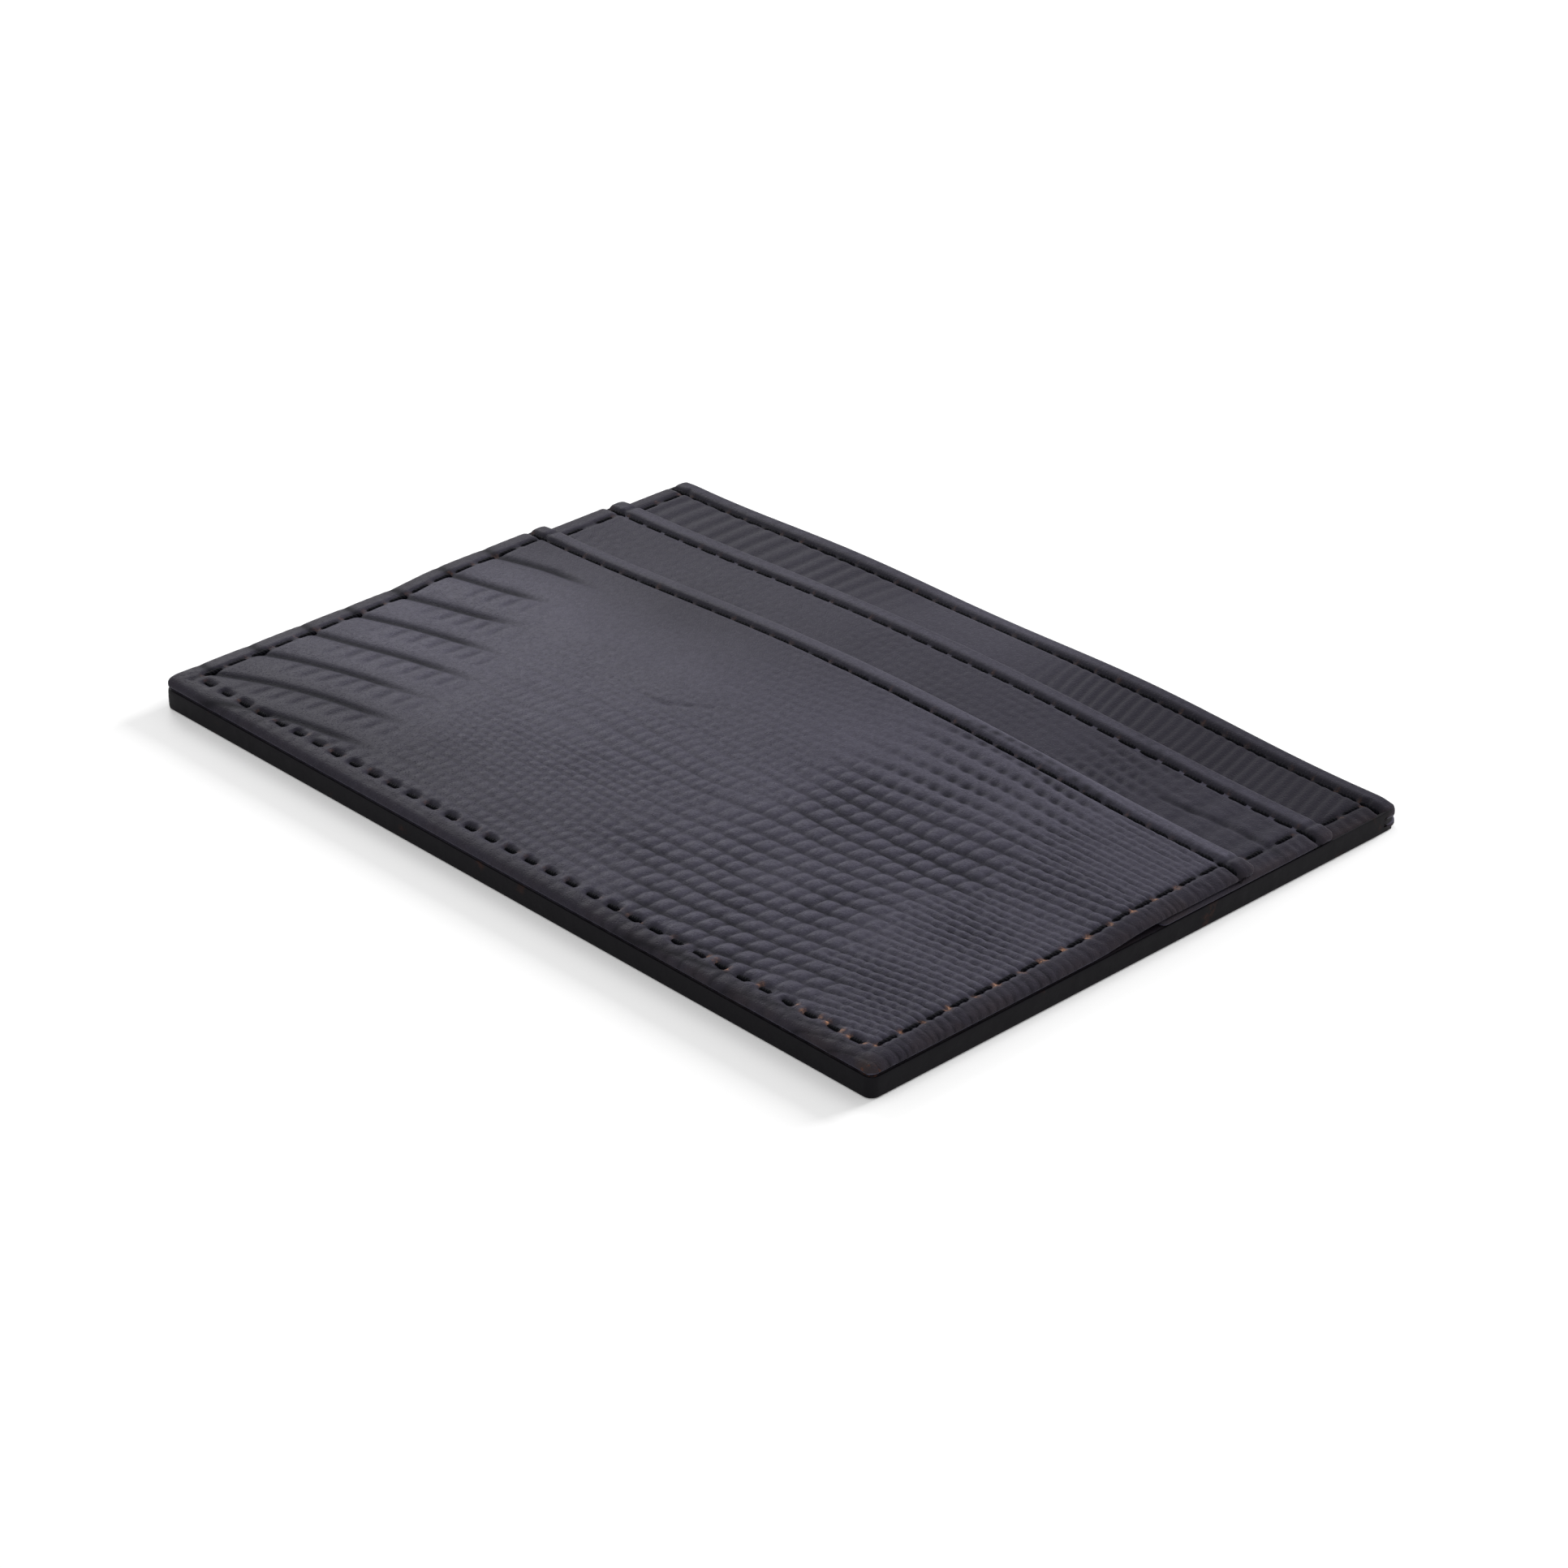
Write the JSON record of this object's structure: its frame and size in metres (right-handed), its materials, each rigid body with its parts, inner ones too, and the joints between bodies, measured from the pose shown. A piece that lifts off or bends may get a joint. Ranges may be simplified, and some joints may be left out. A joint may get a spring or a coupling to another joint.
{
  "type": "card holder",
  "caption": "Flat leather card holder with stacked front card slots and an open centre pocket, embossed lizard grain and dark stitching.",
  "frame": {"origin": "middle of the outline, on the underside of the back panel", "axes": "+X along the long edge, +Y toward the open pocket mouths, +Z out of the face with the card slots"},
  "size_m": [0.1, 0.07, 0.0059],
  "materials": {
    "lizard_leather": "embossed lizard grain, satin, worn to brown at the edges",
    "lining_cloth": "plain fine weave, matte",
    "thread": "waxed twisted thread, dull"
  },
  "bodies": {
    "root": {"back_panel": "lizard_leather", "base_panel": "lizard_leather", "middle_pocket": "lizard_leather", "front_pocket": "lizard_leather", "back_lining": "lining_cloth", "base_lining": "lining_cloth", "middle_lining": "lining_cloth", "front_lining": "lining_cloth", "seam_stitches": "thread", "seam_stitches_back": "thread", "front_mouth_stitches": "thread", "middle_mouth_stitches": "thread", "base_edge_stitches": "thread", "back_edge_stitches": "thread"}
  },
  "joints": []
}
